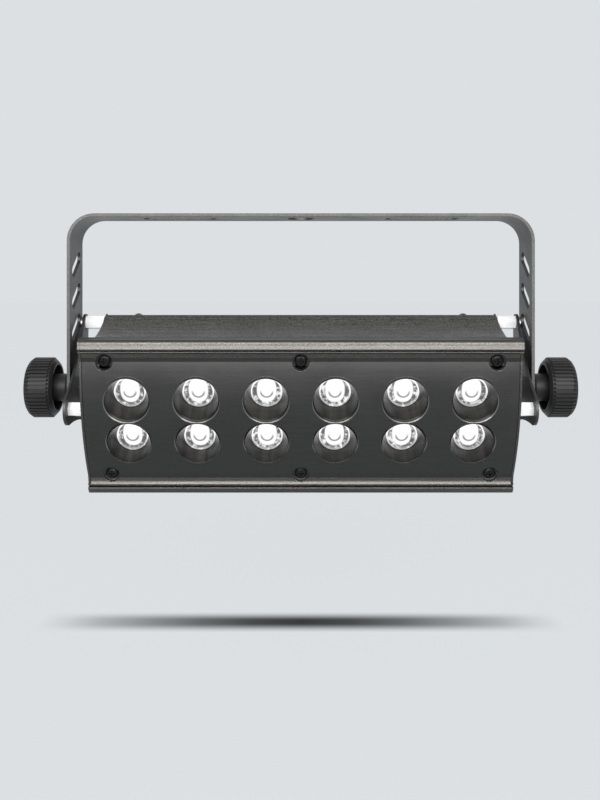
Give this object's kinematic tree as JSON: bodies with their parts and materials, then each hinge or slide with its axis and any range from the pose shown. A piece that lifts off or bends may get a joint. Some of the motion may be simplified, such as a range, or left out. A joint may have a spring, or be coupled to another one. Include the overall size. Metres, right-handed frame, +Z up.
{
  "type": "strobe light",
  "caption": "LED strobe bar: grooved extruded housing with conical lamp cups behind a curved front, hung in a slotted U yoke and held at any tilt by two ribbed hand knobs.",
  "frame": {"origin": "centre of the yoke's clamp hole, on the top face of the strip", "axes": "+X along the bar, -Y the way the lamps look, +Z up towards what the yoke hangs from"},
  "size_m": [0.264, 0.0866, 0.1306],
  "materials": {
    "yoke_paint": "satin black powder coat",
    "body_paint": "satin dark grey powder coat",
    "panel_paint": "satin dark grey powder coat",
    "black_screw": "black oxide",
    "bright_metal": "bright nickel plate",
    "zinc_steel": "zinc plate",
    "clear_lens": "clear moulding, lit from behind",
    "led_package": "lit lamp package",
    "board_white": "white solder mask on metal core",
    "thermal_grey": "soft filled silicone",
    "board_green": "green solder mask",
    "knob_plastic": "moulded black plastic",
    "black_plastic": "moulded black plastic",
    "black_gloss": "polished black plastic",
    "fibre": "hard fibre",
    "pin_brass": "nickel plated brass",
    "fuse_glass": "glass tube with metal caps",
    "mic_metal": "pressed can with felt face"
  },
  "bodies": {
    "bracket": {"yoke": "yoke_paint"},
    "housing": {"housing_extrusion": "body_paint", "front_panel": "panel_paint", "panel_screws": "black_screw", "lens_carrier": "black_plastic", "led_emitters": "led_package", "led_board": "board_white", "thermal_pad": "thermal_grey", "power_board": "board_green", "control_board": "board_green", "rear_panel": "body_paint", "rear_screws": "black_screw", "power_inlet": "black_gloss", "inlet_pins": "pin_brass", "inlet_screws": "zinc_steel", "fuse_holder": "black_plastic", "rocker_frame": "black_plastic", "speed_pot": "zinc_steel", "sound_pot": "zinc_steel", "microphone": "mic_metal", "lens_1": "clear_lens", "lens_2": "clear_lens", "lens_3": "clear_lens", "lens_4": "clear_lens", "lens_5": "clear_lens", "lens_6": "clear_lens", "lens_7": "clear_lens", "lens_8": "clear_lens", "lens_9": "clear_lens", "lens_10": "clear_lens", "lens_11": "clear_lens", "lens_12": "clear_lens", "left_end_plate": "body_paint", "left_end_screws": "black_screw", "left_standoffs": "bright_metal", "left_side_plate": "yoke_paint", "left_plate_screws": "zinc_steel", "left_pivot_nut": "zinc_steel", "left_friction_washer": "fibre", "right_end_plate": "body_paint", "right_end_screws": "black_screw", "right_standoffs": "bright_metal", "right_side_plate": "yoke_paint", "right_plate_screws": "zinc_steel", "right_pivot_nut": "zinc_steel", "right_friction_washer": "fibre"},
    "left_clamp": {"left_knob": "knob_plastic", "left_knob_stud": "zinc_steel"},
    "left_washer": {"left_knob_washer": "zinc_steel"},
    "right_clamp": {"right_knob": "knob_plastic", "right_knob_stud": "zinc_steel"},
    "right_washer": {"right_knob_washer": "zinc_steel"},
    "speed_control": {"speed_shaft": "zinc_steel", "speed_knob": "knob_plastic"},
    "sound_control": {"sound_shaft": "zinc_steel", "sound_knob": "knob_plastic"},
    "fuse_link": {"fuse": "fuse_glass"},
    "fuse_cover": {"fuse_cap": "black_plastic"},
    "mode_rocker": {"rocker": "black_gloss"}
  },
  "joints": [
    {"name": "tilt", "type": "hinge", "parent": "bracket", "child": "housing", "pos_m": [0, 0, -0.0838], "axis": [1, 0, 0], "continuous": true},
    {"name": "left_clamp_travel", "type": "slide", "parent": "housing", "child": "left_washer", "axis": [-1, 0, 0], "range_m": [0, 0.002]},
    {"name": "left_clamp_turn", "type": "hinge", "parent": "left_washer", "child": "left_clamp", "pos_m": [-0.12, 0, -0.0838], "axis": [-1, 0, 0], "range_deg": [0, 720]},
    {"name": "right_clamp_travel", "type": "slide", "parent": "housing", "child": "right_washer", "axis": [1, 0, 0], "range_m": [0, 0.002]},
    {"name": "right_clamp_turn", "type": "hinge", "parent": "right_washer", "child": "right_clamp", "pos_m": [0.12, 0, -0.0838], "axis": [1, 0, 0], "range_deg": [0, 720]},
    {"name": "speed_turn", "type": "hinge", "parent": "housing", "child": "speed_control", "pos_m": [0.03, 0.02235, -0.07654], "axis": [0, 0.9511, 0.309], "range_deg": [-150, 150]},
    {"name": "sound_turn", "type": "hinge", "parent": "housing", "child": "sound_control", "pos_m": [0.054, 0.02235, -0.07654], "axis": [0, 0.9511, 0.309], "range_deg": [-150, 150]},
    {"name": "fuse_draw", "type": "slide", "parent": "housing", "child": "fuse_link", "axis": [0, 0.9511, 0.309], "range_m": [0, 0.03]},
    {"name": "fuse_cap_turn", "type": "hinge", "parent": "fuse_link", "child": "fuse_cover", "pos_m": [-0.024, 0.02235, -0.07654], "axis": [0, 0.9511, 0.309], "range_deg": [0, 90]},
    {"name": "rocker_swing", "type": "hinge", "parent": "housing", "child": "mode_rocker", "pos_m": [0.002, 0.02092, -0.077], "axis": [1, 0, 0], "range_deg": [0, 16]}
  ],
  "couplings": [
    {"joint": "left_clamp_turn", "follows": "left_clamp_travel", "rad_per_m": 6283.2},
    {"joint": "right_clamp_turn", "follows": "right_clamp_travel", "rad_per_m": 6283.2}
  ]
}
